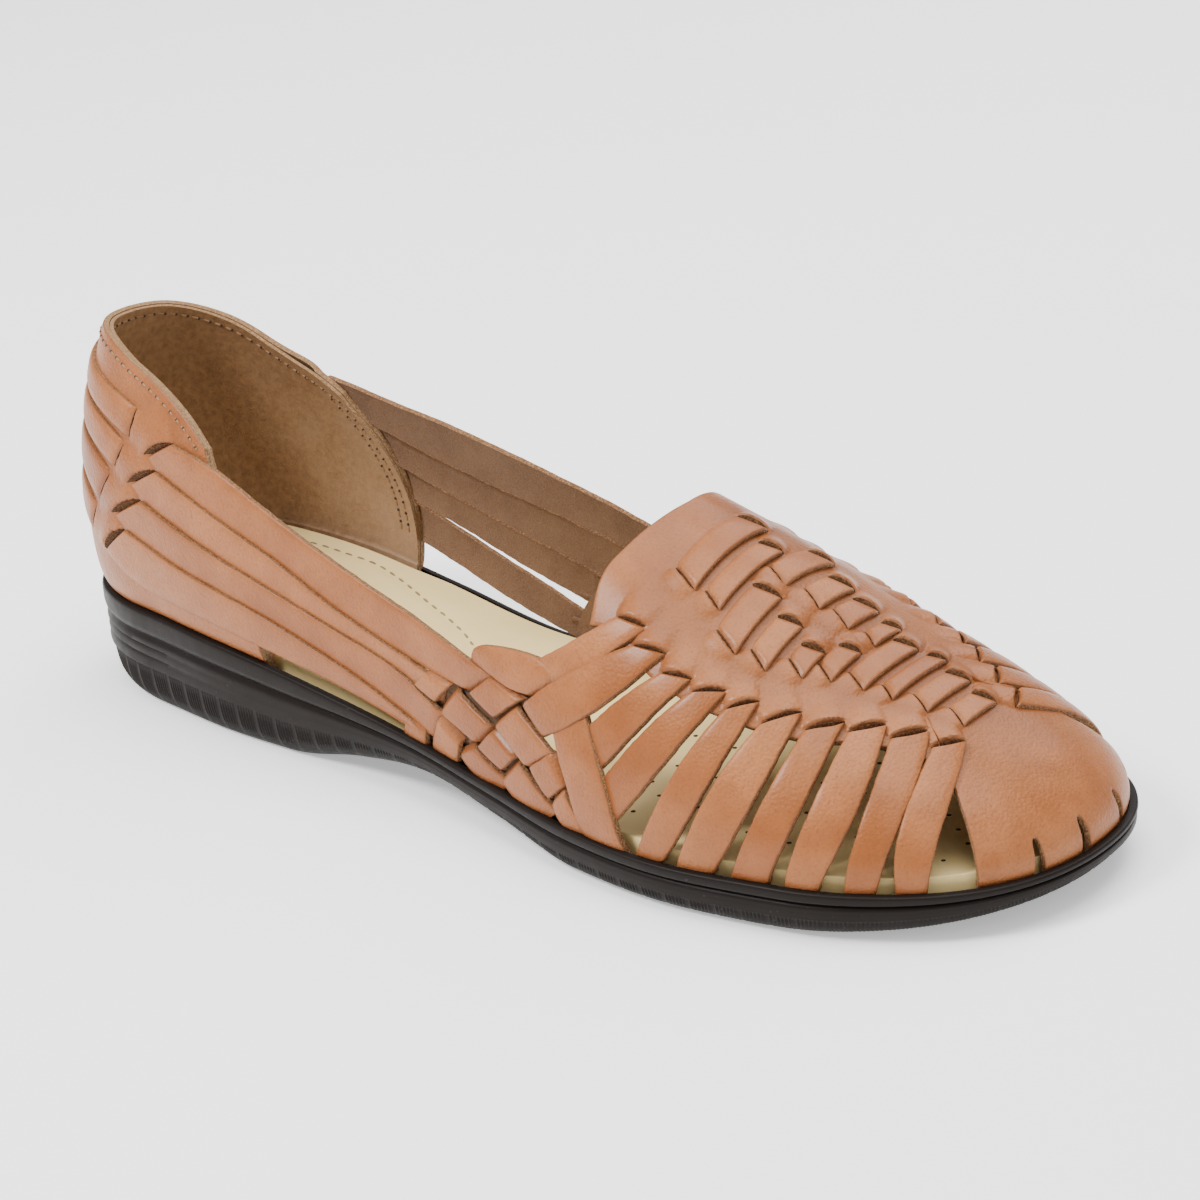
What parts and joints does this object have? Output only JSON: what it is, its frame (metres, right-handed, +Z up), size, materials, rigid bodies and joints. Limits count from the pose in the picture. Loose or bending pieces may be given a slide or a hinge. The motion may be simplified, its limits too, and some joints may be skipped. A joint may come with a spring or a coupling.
{
  "type": "huarache sandal",
  "caption": "Woven leather huarache sandal for the right foot, with a slit toe cap, strips fanning to a ribbed low-heeled sole and straps wrapping a closed heel.",
  "frame": {"origin": "middle of the shoe's bounding box, on the floor under the sole", "axes": "+X towards the toe, +Y towards the inner side of the foot, +Z up"},
  "size_m": [0.2624, 0.0868, 0.0853],
  "materials": {
    "upper_leather": "satin",
    "insole_leather": "matte",
    "sole_rubber": "satin"
  },
  "bodies": {
    "root": {"outsole": "sole_rubber", "insole": "insole_leather", "upper": "upper_leather"}
  },
  "joints": []
}
